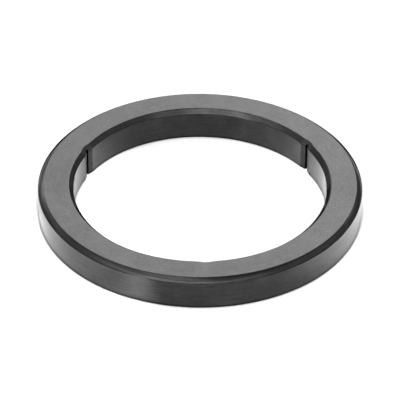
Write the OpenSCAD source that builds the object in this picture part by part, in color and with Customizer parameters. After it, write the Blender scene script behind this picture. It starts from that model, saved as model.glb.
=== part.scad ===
// Group head gasket: a moulded rubber ring of rectangular section.
// The upper outer and upper inner edges are bevelled, and the lower edges are only
// broken. Shallow grooves spaced evenly around the bore run up the bore wall and on
// over its bevel to the upper face, each with a narrow slit along its bottom that
// ends a little way up the bevel.
// Millimetres. Origin at the centre of the lower face, +Z along the ring's axis
// towards the bevelled face. One groove lies on the -Y side.

/* [Ring] */
// Outside diameter of the ring
outer_d = 73; // [70:0.5:76]
// Diameter of the bore
bore_d = 57; // [52:0.5:58]
// Thickness of the ring along its axis
thick = 7.5; // [6:0.25:9]

/* [Bevelled edges of the upper face] */
// Width of the outer bevel, across the upper face
outer_bevel_w = 1.25; // [0.3:0.05:1.8]
// Height of the outer bevel, down the outer wall
outer_bevel_h = 1.05; // [0.3:0.05:1.8]
// Width of the inner bevel, across the upper face
inner_bevel_w = 1; // [0.3:0.05:1.5]
// Height of the inner bevel, down the bore wall
inner_bevel_h = 1; // [0.3:0.05:1.5]

/* [Lower edges] */
// Small break on the two lower edges
lower_break = 0.15; // [0.05:0.05:0.4]

/* [Bore grooves] */
// Number of grooves around the bore
groove_count = 3; // [1:1:8]
// Width of a groove where it opens into the bore
groove_w = 3.5; // [2:0.1:4]
// Depth of a groove's bottom below the bore wall
groove_depth = 0.3; // [0.15:0.05:0.6]
// Depth of a groove across the upper face, where it runs out over the bevel
groove_top_depth = 0.3; // [0.15:0.05:0.5]
// Width of the slit along the bottom of a groove
slit_w = 0.9; // [0.2:0.1:1]
// Depth of the slit below the bottom of the groove
slit_depth = 0.6; // [0.3:0.05:0.8]

/* [Hidden] */
$fn = 180;
ro = outer_d / 2;
ri = bore_d / 2;
// a groove opens a little wider where it runs over the bevel
bevel_groove_w = groove_w + 0.4;
// the flat bottom of a groove leaves a narrow edge on each side of the slit
bottom_w = slit_w + 0.1;
// flanks run on in a straight line past the mouth, by this part of their length
flare = 0.25;
// height at which the slits end, and how far one reaches back through the bottom
slit_top = thick - 0.65 * inner_bevel_h;
slit_reach = 0.15;
// slope of the inner bevel, from the axis, and its length
slope = atan2(inner_bevel_w, inner_bevel_h);
slant = sqrt(inner_bevel_w * inner_bevel_w + inner_bevel_h * inner_bevel_h);
// angle of the first groove, and the step to the next one
groove_start = -90;
groove_step = 360 / groove_count;

// half section of the ring, radius along x and height along y
module ring_section() {
    polygon([
        [ri + lower_break, 0],
        [ro - lower_break, 0],
        [ro, lower_break],
        [ro, thick - outer_bevel_h],
        [ro - outer_bevel_w, thick],
        [ri + inner_bevel_w, thick],
        [ri, thick - inner_bevel_h],
        [ri, lower_break]
    ]);
}

// how far a round wall of radius ri falls back towards the axis at the ends of a
// chord of width w
function sag(w) = ri - sqrt(ri * ri - w * w / 4);

// groove with its bottom, bottom_w wide, at x = depth and its flanks w apart at
// x = -fall, open towards -x
module groove_plan(depth, w, fall) {
    open_x = -fall - flare * (depth + fall);
    open_half = w / 2 + flare * (w - bottom_w) / 2;
    polygon([
        [open_x, -open_half],
        [depth, -bottom_w / 2],
        [depth, bottom_w / 2],
        [open_x, open_half]
    ]);
}

// straight-sided slit, slit_depth below the bottom of the groove
module slit_plan() {
    translate([groove_depth - slit_reach, -slit_w / 2])
        square([slit_reach + slit_depth, slit_w]);
}

// groove up the full height of the bore wall, with its slit
module wall_groove() {
    translate([ri, 0, -1]) {
        linear_extrude(height = thick + 2)
            groove_plan(groove_depth, groove_w, sag(groove_w));
        linear_extrude(height = slit_top + 1)
            slit_plan();
    }
}

// the same groove carried on along the slope of the inner bevel
module bevel_groove() {
    translate([ri, 0, thick - inner_bevel_h])
        rotate([0, slope, 0])
            translate([0, 0, -slant])
                linear_extrude(height = 3 * slant)
                    groove_plan(
                        groove_top_depth * cos(slope),
                        bevel_groove_w,
                        sag(bevel_groove_w) * cos(slope)
                    );
}

module bore_groove(angle) {
    rotate([0, 0, angle]) {
        wall_groove();
        bevel_groove();
    }
}

module gasket_ring() {
    color([0.17, 0.17, 0.175])
        difference() {
            rotate_extrude() ring_section();
            for (i = [0 : groove_count - 1])
                bore_groove(groove_start + i * groove_step);
        }
}

gasket_ring();
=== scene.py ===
import math

import bmesh
import bpy
import numpy as np
from mathutils import Matrix, Vector


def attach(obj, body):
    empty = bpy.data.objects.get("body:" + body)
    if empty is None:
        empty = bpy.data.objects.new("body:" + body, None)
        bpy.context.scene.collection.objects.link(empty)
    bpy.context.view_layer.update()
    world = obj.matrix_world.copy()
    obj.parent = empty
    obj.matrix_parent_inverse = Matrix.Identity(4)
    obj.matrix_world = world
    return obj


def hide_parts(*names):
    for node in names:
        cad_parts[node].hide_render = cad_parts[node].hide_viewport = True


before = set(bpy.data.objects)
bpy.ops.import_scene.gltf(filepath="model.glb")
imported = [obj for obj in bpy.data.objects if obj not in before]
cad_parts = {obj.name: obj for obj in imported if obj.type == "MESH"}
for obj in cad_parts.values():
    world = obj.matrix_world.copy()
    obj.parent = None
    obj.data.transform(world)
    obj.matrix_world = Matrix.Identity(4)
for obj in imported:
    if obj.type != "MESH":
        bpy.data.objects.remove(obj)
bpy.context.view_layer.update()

MM = 0.001

# ---------------------------------------------------------------- dimensions
# The ring as in the CAD model, in millimetres.
RO, RI, H = 36.5, 28.5, 7.5
OUT_W, OUT_H = 1.25, 1.05          # outer bevel, across and down
IN_W, IN_H = 1.0, 1.0              # inner bevel, across and down
GROOVE_W, GROOVE_D = 3.5, 0.30     # grooves in the bore wall: width at the mouth, and depth
GROOVE_FLAT = 1.0                  # width of their bottom
BEVEL_W, BEVEL_D = 3.9, 0.30       # the same grooves where they run over the bevel
SLIT_W, SLIT_D = 0.9, 0.6          # slit along the bottom of a groove
SLIT_TOP = 6.85                    # height at which it ends, a little way up the bevel
GROOVE_ANGLES = (-90.0, 30.0, 150.0)

# radii of the small moulded roundings that the CAD model leaves sharp
R_BEVEL_LOW = 0.22                 # outer bevel into outer wall
R_BEVEL_TOP = 0.10                 # outer bevel into upper face
R_IN_TOP = 0.26                    # upper face into inner bevel
R_IN_LOW = 0.22                    # inner bevel into bore wall
R_LOWER = 0.16                     # lower edges
CROWN = 0.07                       # how far the middle of the outer bevel stands out


# ------------------------------------------------------------------- the ring
def arc_corner(p, q, r, radius, steps):
    """Points that round the corner q of the line p-q-r: a circular arc, held inside the two sides."""
    p, q, r = (np.asarray(v, float) for v in (p, q, r))
    a, b = p - q, r - q
    la, lb = np.linalg.norm(a), np.linalg.norm(b)
    if radius <= 0.0 or la < 1e-9 or lb < 1e-9:
        return [q.copy() for _ in range(steps + 1)]
    a, b = a / la, b / lb
    half = 0.5 * math.acos(max(-1.0, min(1.0, float(a @ b))))
    if half > math.pi / 2 - 1e-6:
        return [q.copy() for _ in range(steps + 1)]
    tangent = min(radius / math.tan(half), 0.48 * la, 0.48 * lb)
    radius = tangent * math.tan(half)
    mid = (a + b) / np.linalg.norm(a + b)
    centre = q + mid * (radius / math.sin(half))
    start, end = q + a * tangent - centre, q + b * tangent - centre
    turn = math.acos(max(-1.0, min(1.0, float(start @ end) / max(radius * radius, 1e-18))))
    if turn < 1e-6:
        return [q.copy() for _ in range(steps + 1)]
    out = []
    for i in range(steps + 1):
        t = i / steps
        k0, k1 = math.sin((1 - t) * turn) / math.sin(turn), math.sin(t * turn) / math.sin(turn)
        out.append(centre + k0 * start + k1 * end)
    return out


def between(p, q, n):
    """n points strictly between p and q, closer together near both ends."""
    p, q = np.asarray(p, float), np.asarray(q, float)
    return [p + (q - p) * (0.5 - 0.5 * math.cos(math.pi * i / (n + 1))) for i in range(1, n + 1)]


def soft_top(x, y, width):
    """The larger of x and y, blended where they are within width of each other."""
    h = max(width - abs(x - y), 0.0) / width
    return max(x, y) + h * h * width / 4


def groove_depths(u):
    """How far the bore wall, the slit and the bevel are set back at a distance u beside a groove's middle."""
    u = abs(u)
    half, flat, slit = GROOVE_W / 2, GROOVE_FLAT / 2, SLIT_W / 2
    sag = RI - math.sqrt(RI * RI - half * half)
    x = GROOVE_D - (GROOVE_D + sag) * max(u - flat, 0.0) / (half - flat)
    wall = soft_top(math.hypot(RI + x, u) - RI, 0.0, 0.012) if u < half + 0.06 else 0.0
    bevel = BEVEL_D * (1.0 - max(u - flat, 0.0) / (BEVEL_W / 2 - flat))
    bevel = soft_top(bevel, 0.0, 0.010) if u < BEVEL_W / 2 + 0.06 else 0.0
    deep = wall + (SLIT_D if u < slit else 0.0)
    return wall, deep, bevel


def bore_rows():
    """(angle, wall depth, slit depth, bevel depth, part of the row that is groove) right round the ring."""
    half, flat, slit, wide = GROOVE_W / 2, GROOVE_FLAT / 2, SLIT_W / 2, BEVEL_W / 2
    side = [wide + 0.16, wide + 0.06, wide + 0.02, wide - 0.02, wide - 0.06, half + 0.06, half + 0.03, half + 0.01,
            half - 0.01, half - 0.03, half - 0.07, 1.42, 1.22, 1.02, 0.82, 0.64, 0.52, flat + 0.04, flat, slit + 0.004,
            slit - 0.004, slit - 0.03, 0.2, 0.1]
    local = sorted([-u for u in side] + [0.0] + side)
    rows = []
    step = math.radians(0.75)
    for centre in GROOVE_ANGLES:
        c = math.radians(centre)
        for u in local:
            wall, deep, bevel = groove_depths(u)
            rows.append((c + math.asin(u / RI), wall, deep, bevel, 1.0 if abs(u) < half - 0.02 else 0.0))
        gap0, gap1 = c + math.asin(local[-1] / RI), c + math.radians(120.0) + math.asin(local[0] / RI)
        n = int(round((gap1 - gap0) / step))
        rows += [(gap0 + (gap1 - gap0) * k / n, 0.0, 0.0, 0.0, 0.0) for k in range(1, n)]
    return rows


def ring_section(wall, deep, bevel):
    """Closed half section of the ring with its edges rounded, where the bore wall is set back by wall,
    its slit by deep and the bevel above it by bevel: points, and for each point the weights of its zone."""
    knee = H - IN_H + (wall - bevel) * IN_H / IN_W      # lower edge of the inner bevel
    low = (RI + wall, knee)
    ledge = knee - 0.12
    if deep > wall:                                     # the slit ends partway up the bevel
        low = (RI + bevel + (SLIT_TOP - H + IN_H) * IN_W / IN_H, SLIT_TOP)
        ledge = SLIT_TOP
    FACE, BEVEL, WALL = (1.0, 0.0), (0.0, 1.0), (0.0, 0.0)
    slant = math.hypot(OUT_W, OUT_H)
    crown = []
    for k in range(1, 7):
        t = k / 7
        bulge = CROWN * 4 * t * (1 - t)
        crown.append(((RO - OUT_W * t + bulge * OUT_H / slant, H - OUT_H * (1 - t) + bulge * OUT_W / slant), 0.0, 0, BEVEL, 0))
    # corners in turn: place, rounding, steps of the rounding, zone that follows, points up to the next corner
    corners = [
        ((RI + deep, 0.0), R_LOWER, 5, FACE, 7),
        ((RO, 0.0), R_LOWER, 6, WALL, 9),
        ((RO, H - OUT_H), R_BEVEL_LOW, 6, BEVEL, 0),
        *crown,
        ((RO - OUT_W, H), R_BEVEL_TOP, 5, FACE, 8),
        ((RI + IN_W + bevel, H), R_IN_TOP, 5, BEVEL, 5),
        (low, R_IN_LOW if deep == wall else 0.0, 6, WALL, 0),
        ((low[0], ledge), 0.0, 0, WALL, 0),
        ((RI + deep, ledge), 0.0, 0, WALL, 9),
    ]
    n = len(corners)
    zones, fill = [c[3] for c in corners], [c[4] for c in corners]
    arcs = []
    for i, (q, radius, steps, _, _) in enumerate(corners):
        p, r = corners[i - 1][0], corners[(i + 1) % n][0]
        if i == n - 3:
            r = (RI + wall, 0.0)        # the upper end of the slit doesn't shorten this rounding
        arcs.append(arc_corner(p, q, r, radius, steps))
    out, marks = [], []
    for i in range(n):
        before, after = zones[i - 1], zones[i]
        steps = len(arcs[i]) - 1
        for k, point in enumerate(arcs[i]):
            t = k / steps if steps else 0.5
            out.append(point)
            marks.append((before[0] * (1 - t) + after[0] * t, before[1] * (1 - t) + after[1] * t,
                          math.sin(math.pi * t) if steps else 0.0))
        for point in between(arcs[i][-1], arcs[(i + 1) % n][0], fill[i]):
            out.append(point)
            marks.append((after[0], after[1], 0.0))
    return np.array(out), marks


def build_ring():
    rows = bore_rows()
    verts, marks, count = [], [], None
    for angle, wall, deep, bevel, groove in rows:
        section, zone = ring_section(wall, deep, bevel)
        count = len(section)
        c, s = math.cos(angle), math.sin(angle)
        for (r, z), m in zip(section, zone):
            verts.append((r * c * MM, r * s * MM, z * MM))
            inside = groove if r < RI + 1.0 and 0.02 < z < H - IN_H + 0.05 else 0.0
            mouth = groove if r < RI + 1.4 and H - IN_H + 0.05 <= z < H - 0.02 else 0.0
            cut = 1.0 if deep > wall and RI + wall + 0.1 < r < RI + 1.2 and 0.0 <= z < SLIT_TOP + 0.01 else 0.0
            marks.append(m + (inside, cut, mouth))
    faces = []
    total = len(rows)
    for j in range(total):
        k = (j + 1) % total
        for i in range(count):
            m = (i + 1) % count
            faces.append((j * count + i, k * count + i, k * count + m, j * count + m))
    mesh = bpy.data.meshes.new("gasket_ring_moulded")
    mesh.from_pydata(verts, [], faces)
    for i, name in enumerate(("face", "bevel", "edge", "groove", "slit", "mouth")):
        layer = mesh.attributes.new(name, "FLOAT", "POINT")
        layer.data.foreach_set("value", [m[i] for m in marks])
    bm = bmesh.new()
    bm.from_mesh(mesh)
    bmesh.ops.remove_doubles(bm, verts=bm.verts, dist=1e-6)
    bmesh.ops.dissolve_degenerate(bm, edges=bm.edges, dist=1e-7)
    bmesh.ops.recalc_face_normals(bm, faces=bm.faces)
    for f in bm.faces:
        f.smooth = True
    for e in bm.edges:
        e.smooth = len(e.link_faces) == 2 and e.calc_face_angle(0.0) < math.radians(28.0)
    bm.to_mesh(mesh)
    bm.free()
    obj = bpy.data.objects.new("gasket_ring_moulded", mesh)
    bpy.context.scene.collection.objects.link(obj)
    return obj


# ------------------------------------------------------------------ materials
WALL_ROUGH, BEVEL_ROUGH, FACE_ROUGH = 0.09, 0.10, 0.21


class Nodes:
    """Short hand for building a node tree."""

    def __init__(self, tree):
        self.tree = tree

    def add(self, kind, **settings):
        node = self.tree.nodes.new(kind)
        for key, value in settings.items():
            setattr(node, key, value)
        return node

    def put(self, value, socket):
        if isinstance(value, bpy.types.NodeSocket):
            self.tree.links.new(value, socket)
        else:
            socket.default_value = value

    def math(self, op, a, b=None, c=None, clamp=False):
        node = self.add("ShaderNodeMath", operation=op, use_clamp=clamp)
        for value, socket in zip((a, b, c), node.inputs):
            if value is not None:
                self.put(value, socket)
        return node.outputs[0]

    def ramp(self, value, lo, hi, to_lo, to_hi, smooth=True):
        node = self.add("ShaderNodeMapRange", interpolation_type="SMOOTHSTEP" if smooth else "LINEAR")
        for v, name in ((value, "Value"), (lo, "From Min"), (hi, "From Max"), (to_lo, "To Min"), (to_hi, "To Max")):
            self.put(v, node.inputs[name])
        return node.outputs["Result"]

    def noise(self, vector, scale, detail=2.0, rough=0.5):
        node = self.add("ShaderNodeTexNoise")
        self.put(vector, node.inputs["Vector"])
        for name, v in (("Scale", scale), ("Detail", detail), ("Roughness", rough)):
            node.inputs[name].default_value = v
        return node.outputs["Fac"]

    def attribute(self, name):
        return self.add("ShaderNodeAttribute", attribute_name=name).outputs["Fac"]


def rubber():
    """Moulded black rubber: semi-gloss walls and bevels with fine lines along the ring, a satin upper and lower
    face with a fine grain, and dull grooves. Loose rubbed patches are a little lighter, and the rounded edges are
    painted lighter as a highlight."""
    mat = bpy.data.materials.new("black_rubber")
    mat.use_nodes = True
    nt = mat.node_tree
    bsdf = nt.nodes["Principled BSDF"]
    n = Nodes(nt)
    face, bevel, edge, groove, slit, mouth = (
        n.attribute(name) for name in ("face", "bevel", "edge", "groove", "slit", "mouth"))
    slit = n.ramp(slit, 0.0, 0.3, 0.0, 1.0)

    place = n.add("ShaderNodeTexCoord").outputs["Object"]
    xyz = n.add("ShaderNodeSeparateXYZ")
    n.put(place, xyz.inputs[0])
    x, y, z = xyz.outputs
    r = n.math("SQRT", n.math("MULTIPLY_ADD", x, x, n.math("MULTIPLY", y, y)))
    cx, cy = n.math("DIVIDE", x, r), n.math("DIVIDE", y, r)

    def along(turns, per_m, detail):
        """Lines that follow the ring, without a seam: turns sets their length, per_m how fine they are."""
        vec = n.add("ShaderNodeCombineXYZ")
        for value, k, socket in zip((cx, cy, z), (turns, turns, per_m), vec.inputs):
            n.put(n.math("MULTIPLY", value, k), socket)
        node = n.add("ShaderNodeTexNoise", noise_dimensions="4D")
        n.put(vec.outputs[0], node.inputs["Vector"])
        n.put(n.math("MULTIPLY", r, per_m), node.inputs["W"])
        for name, v in (("Scale", 1.0), ("Detail", detail), ("Roughness", 0.55)):
            node.inputs[name].default_value = v
        return n.math("SUBTRACT", node.outputs["Fac"], 0.5)

    def scuff(turn, seed):
        """Faint straight rubbing marks across a face, in loose patches."""
        m = n.add("ShaderNodeMapping")
        n.put(place, m.inputs["Vector"])
        m.inputs["Location"].default_value = (seed, 0.37 * seed, 0.0)
        m.inputs["Rotation"].default_value = (0.0, 0.0, math.radians(turn))
        m.inputs["Scale"].default_value = (90.0, 2300.0, 90.0)
        lines = n.ramp(n.noise(m.outputs[0], 1.0, 2.0, 0.5), 0.58, 0.80, 0.0, 1.0)
        patch = n.ramp(n.noise(place, 95.0 + 20.0 * seed, 1.0, 0.5), 0.50, 0.64, 0.0, 1.0)
        return n.math("MULTIPLY", lines, patch)

    lines = along(9.0, 3600.0, 2.0)
    flecks = along(30.0, 3800.0, 2.0)
    ribs = along(1.6, 1500.0, 1.0)
    grain = n.math("SUBTRACT", n.noise(place, 3000.0, 3.0, 0.6), 0.5)
    patches = n.math("SUBTRACT", n.noise(place, 210.0, 3.0, 0.55), 0.5)
    marks = n.math("ADD", scuff(38.0, 0.0), scuff(-24.0, 3.0))
    marks = n.math("MULTIPLY", marks, face)
    # lighter and rougher in loose rubbed patches and along the rounded edges; on the edges the lighter colour is a
    # painted highlight
    wear_and_edge_highlight = n.ramp(n.math("MULTIPLY_ADD", patches, 0.9, n.math("MULTIPLY_ADD", edge, 0.9, n.math("MULTIPLY", grain, 0.5))), 0.55, 1.05, 0.0, 1.0)

    # painted shade at the foot: the gloss falls off in the lowest millimetre, so the ring reads darker where it stands
    # on the floor
    foot = n.ramp(z, 0.15 * MM, 0.85 * MM, 1.0, 0.0)

    # colour: near black, uneven in soft patches, a shade lighter in loose rubbed patches, and lighter along the
    # rounded edges as a painted highlight
    shade = n.math("MULTIPLY_ADD", patches, 0.004, 0.0035)
    shade = n.math("MULTIPLY_ADD", grain, 0.002, shade)
    # painted highlight along the rounded edges, with lighter patches of wear
    shade = n.math("MULTIPLY_ADD", wear_and_edge_highlight, 0.006, shade)
    shade = n.math("MULTIPLY_ADD", marks, 0.003, shade)
    # painted shade: the grooves are half as light in colour
    shade = n.math("MULTIPLY", shade, n.math("MULTIPLY_ADD", groove, -0.5, 1.0))
    shade = n.math("MAXIMUM", shade, 0.0008)
    colour = n.add("ShaderNodeCombineColor")
    for k, socket in zip((1.0, 1.0, 1.03), colour.inputs):
        n.put(n.math("MULTIPLY", shade, k), socket)
    bsdf.inputs["Base Color"].default_value = (0.004, 0.004, 0.0041, 1.0)
    n.put(colour.outputs[0], bsdf.inputs["Base Color"])

    # gloss: walls and bevels shine more than the faces, and the grooves least
    bsdf.inputs["Roughness"].default_value = WALL_ROUGH
    rough = n.math("MULTIPLY_ADD", face, FACE_ROUGH - WALL_ROUGH, WALL_ROUGH)
    rough = n.math("MULTIPLY_ADD", bevel, BEVEL_ROUGH - WALL_ROUGH, rough)
    rough = n.math("MULTIPLY_ADD", groove, 0.25, rough)
    rough = n.math("MULTIPLY_ADD", mouth, 0.22, rough)
    rough = n.math("MULTIPLY_ADD", patches, 0.05, rough)
    rough = n.math("MULTIPLY_ADD", lines, 0.05, rough)
    rough = n.math("MULTIPLY_ADD", marks, 0.05, rough)
    rough = n.math("MULTIPLY_ADD", wear_and_edge_highlight, 0.10, rough)
    n.put(n.math("MAXIMUM", rough, 0.04), bsdf.inputs["Roughness"])

    # the skin of the rubber reflects a little unevenly
    sheen = n.math("MULTIPLY_ADD", patches, 0.30, 0.5)
    sheen = n.math("MULTIPLY_ADD", grain, n.math("MULTIPLY_ADD", face, 0.13, 0.32), sheen)
    sheen = n.math("MULTIPLY_ADD", lines, n.math("MULTIPLY_ADD", face, -0.26, 0.48), sheen)
    sheen = n.math("MULTIPLY_ADD", flecks, n.math("MULTIPLY_ADD", face, -0.13, 0.40), sheen)
    sheen = n.math("MULTIPLY_ADD", marks, 0.13, sheen)
    sheen = n.math("MULTIPLY", sheen, n.math("MULTIPLY_ADD", groove, -0.34, 1.0))
    sheen = n.math("MULTIPLY", sheen, n.math("MULTIPLY_ADD", mouth, 0.5, 1.0))
    # painted shade: the slit keeps only a trace of gloss, so it reads black
    sheen = n.math("MULTIPLY", sheen, n.math("MULTIPLY_ADD", slit, -0.85, 1.0))
    # painted shade: less gloss at the foot
    sheen = n.math("MULTIPLY", sheen, n.math("MULTIPLY_ADD", foot, -0.5, 1.0))
    # the bevels lose their gloss where they are seen edge on: a fit to the photo's dark outlines
    facing = n.add("ShaderNodeLayerWeight").outputs["Facing"]
    edge_on = n.math("MULTIPLY", n.ramp(facing, 0.57, 0.74, 0.0, 1.0), n.ramp(bevel, 0.0, 0.25, 0.0, 1.0))
    sheen = n.math("MULTIPLY", sheen, n.math("SUBTRACT", 1.0, edge_on))
    n.put(n.math("MAXIMUM", sheen, 0.0), bsdf.inputs["Specular IOR Level"])
    bsdf.inputs["IOR"].default_value = 1.42

    # relief, in micrometres: grain everywhere, lines along the ring on walls and bevels, marks on the faces
    smooth = n.math("SUBTRACT", 1.0, face)
    relief = n.math("MULTIPLY", grain, n.math("MULTIPLY_ADD", face, 5.0, 4.0))
    relief = n.math("MULTIPLY_ADD", lines, n.math("MULTIPLY_ADD", smooth, 5.0, 3.0), relief)
    relief = n.math("MULTIPLY_ADD", ribs, n.math("MULTIPLY_ADD", bevel, 26.0, 5.0), relief)
    relief = n.math("MULTIPLY_ADD", patches, 14.0, relief)
    relief = n.math("MULTIPLY_ADD", marks, -5.0, relief)
    bump = n.add("ShaderNodeBump")
    bump.inputs["Strength"].default_value = 1.0
    bump.inputs["Distance"].default_value = 1e-6
    n.put(relief, bump.inputs["Height"])
    n.put(bump.outputs["Normal"], bsdf.inputs["Normal"])
    return mat


FLOOR = 0.34                           # how much of its light the floor gives back


def floor_material():
    mat = bpy.data.materials.new("pale_floor")
    mat.use_nodes = True
    bsdf = mat.node_tree.nodes["Principled BSDF"]
    bsdf.inputs["Base Color"].default_value = (FLOOR, FLOOR, FLOOR, 1.0)
    bsdf.inputs["Roughness"].default_value = 0.9
    bsdf.inputs["Specular IOR Level"].default_value = 0.0
    return mat


# ----------------------------------------------------------------------- build
ring = build_ring()
ring.data.materials.append(rubber())
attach(ring, "root")
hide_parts("gasket_ring")

floor_mesh = bpy.data.meshes.new("floor")
floor_mesh.from_pydata(
    [(-4, -4, 0), (4, -4, 0), (4, 4, 0), (-4, 4, 0)], [], [(0, 1, 2, 3)]
)
floor = bpy.data.objects.new("floor", floor_mesh)
bpy.context.scene.collection.objects.link(floor)
floor.data.materials.append(floor_material())

# ---------------------------------------------------------------------- camera
AZ = math.radians(-3.0)            # the camera stands a little to the left of the front groove
DIST, ELEV, PITCH, ROLL = 0.995, math.radians(36.078), math.radians(35.951), math.radians(0.387)
FOCAL_PX = 4405.0
TURN = Matrix.Rotation(AZ, 3, "Z")


def camera():
    data = bpy.data.cameras.new("camera")
    data.sensor_width = 36.0
    data.lens = FOCAL_PX * 36.0 / 400.0
    data.clip_start, data.clip_end = 0.01, 50.0
    cam = bpy.data.objects.new("camera", data)
    bpy.context.scene.collection.objects.link(cam)
    place = TURN @ Vector((0.0, -DIST * math.cos(ELEV), DIST * math.sin(ELEV)))
    fwd = TURN @ Vector((0.0, math.cos(PITCH), -math.sin(PITCH)))
    right = fwd.cross(Vector((0.0, 0.0, 1.0))).normalized()
    up = right.cross(fwd)
    r2 = math.cos(ROLL) * right + math.sin(ROLL) * up
    u2 = -math.sin(ROLL) * right + math.cos(ROLL) * up
    m = Matrix((r2, u2, -fwd)).transposed().to_4x4()
    m.translation = place
    cam.matrix_world = m
    bpy.context.scene.camera = cam
    return cam


camera()

# ---------------------------------------------------------------------- lights
# Azimuths are taken from the direction that the camera looks in, positive to the right of the picture.
# Soft light of the studio: azimuth, elevation, half width across and up in degrees, brightness.
SOFT = {
    "key": (-145, 50, 22, 9, 4.6),
    "key_left": (-108, 46, 18, 9, 1.64),
    "key_front": (178, 52, 18, 9, 4.3),
    "key_right": (143, 50, 19, 9, 1.78),
    "key_far_right": (108, 46, 18, 9, 0.5),
    "high_left": (-146, 68, 36, 7, 2.7),
    "zenith_left": (-138, 79, 38, 8, 1.8),
    "mid_front": (-172, 35, 36, 8, 1.8),
    "back": (0, 36, 9, 10, 4.45),
    "back_right": (17, 36, 11, 10, 6.25),
    "back_high": (0, 58, 34, 8, 4.12),
    "side_left": (-82, 36, 16, 12, 0.38),
    "high_side": (-78, 61, 16, 7, 0.5),
    "side_right": (82, 36, 16, 12, 0.45),
    "band_low": (-138, 18, 7, 16, 7.0),
    "low_left": (-52, 30, 20, 9, 0.55),
    "edge_left": (-30, 19, 12, 9, 3.2),
    "low_right": (40, 28, 16, 7, 1.0),
}
FILL = 0.22


def studio():
    world = bpy.data.worlds.new("studio")
    bpy.context.scene.world = world
    world.use_nodes = True
    tree = world.node_tree
    n = Nodes(tree)
    way = n.add("ShaderNodeTexCoord").outputs["Generated"]
    xyz = n.add("ShaderNodeSeparateXYZ")
    n.put(way, xyz.inputs[0])
    x, y, z = xyz.outputs
    up = n.math("ARCSINE", z)

    def lobe(squares, brightness, name):
        fall = n.math("POWER", math.e, n.math("MULTIPLY", squares, -1.0))
        node = n.add("ShaderNodeMath", operation="MULTIPLY", name=name)
        n.put(fall, node.inputs[0])
        node.inputs[1].default_value = brightness
        return node.outputs[0]

    total = FILL
    for name, (az, el, wide, tall, brightness) in SOFT.items():
        a = math.radians(az) - AZ
        across = n.math("MULTIPLY_ADD", x, math.cos(a), n.math("MULTIPLY", y, -math.sin(a)))
        along = n.math("MULTIPLY_ADD", x, math.sin(a), n.math("MULTIPLY", y, math.cos(a)))
        u = n.math("DIVIDE", n.math("ARCTAN2", across, along), math.radians(wide))
        v = n.math("DIVIDE", n.math("SUBTRACT", up, math.radians(el)), math.radians(tall))
        squares = n.math("MULTIPLY_ADD", u, u, n.math("MULTIPLY", v, v))
        total = n.math("ADD", total, lobe(squares, brightness, name))
    n.put(total, tree.nodes["Background"].inputs["Strength"])
    tree.nodes["Background"].inputs["Color"].default_value = (1, 1, 1, 1)


def hang(data, x, y, height, aim=None):
    """Hangs a lamp over the floor, x and y in millimetres, and points it at the place aim or straight down."""
    obj = bpy.data.objects.new(data.name, data)
    bpy.context.scene.collection.objects.link(obj)
    place = TURN @ Vector((x * MM, y * MM, height))
    target = TURN @ Vector((aim[0] * MM, aim[1] * MM, 0.0)) if aim else Vector((place.x, place.y, 0.0))
    m = (target - place).to_track_quat("-Z", "Y").to_matrix().to_4x4()
    m.translation = place
    obj.matrix_world = m
    obj.visible_camera = False
    obj.visible_glossy = False         # it lights the floor and doesn't show in the ring as a hot spot
    return obj


def pool(name, x, y, radius, brightness, blend, height=0.5, inside=False):
    """Soft round patch of light on the floor: centre and radius in millimetres. Its lamps lean over the wall
    next to it, so that the foot of the wall keeps a soft shadow."""
    away = math.hypot(x, y)
    leans = (0.01, 0.04, 0.07) if inside else (0.03, 0.075, 0.12)
    for k, lean in enumerate(leans):
        data = bpy.data.lights.new(f"{name}_{k + 1}", "SPOT")
        data.spot_size = 2 * math.atan(radius * MM / height)
        data.spot_blend = blend
        data.shadow_soft_size = 0.004
        data.energy = brightness * 4 * math.pi * math.pi * height * height * 0.9 / FLOOR / len(leans)
        shift = 1.0 + (lean if inside else -lean) * height / MM / away
        hang(data, x * shift, y * shift, height, (x, y))


def ceiling(name, radius, brightness, height=2.0):
    """Soft round lamp straight overhead for the floor, which gives the ring its contact shadow: radius in metres."""
    data = bpy.data.lights.new(name, "AREA")
    data.shape = "DISK"
    data.size = 2 * radius
    data.energy = brightness * math.pi * math.pi * (radius * radius + height * height) / FLOOR
    hang(data, 0.0, 0.0, height)


studio()
ceiling("ceiling", 0.34, 0.74)
pool("floor_front", 16.0, -52.0, 33.0, 0.33, 0.5)
pool("floor_left", -35.0, -26.0, 26.8, 1.27, 0.4)
pool("band_near", -14.9, -35.4, 5.6, 1.30, 1.0)
pool("band_middle", -17.0, -37.7, 6.2, 1.30, 1.0)
pool("band_far", -19.4, -40.3, 7.0, 1.30, 1.0)
pool("floor_right", 53.9, -28.5, 30.0, 2.15, 0.75)
pool("floor_far_right", 60.0, -2.0, 23.5, 1.7, 0.4)
pool("band_in_near", 9.9, 24.3, 3.6, 0.56, 0.8, 0.3, inside=True)
pool("band_in_far", 7.3, 22.0, 3.0, 0.54, 0.8, 0.3, inside=True)
pool("floor_in_right", 21.5, 13.0, 13.0, 0.90, 0.5, inside=True)
pool("floor_in_left", -21.5, 11.5, 13.0, 0.62, 0.5, inside=True)

view = bpy.context.scene.view_settings
view.view_transform = "Standard"
view.look = "None"
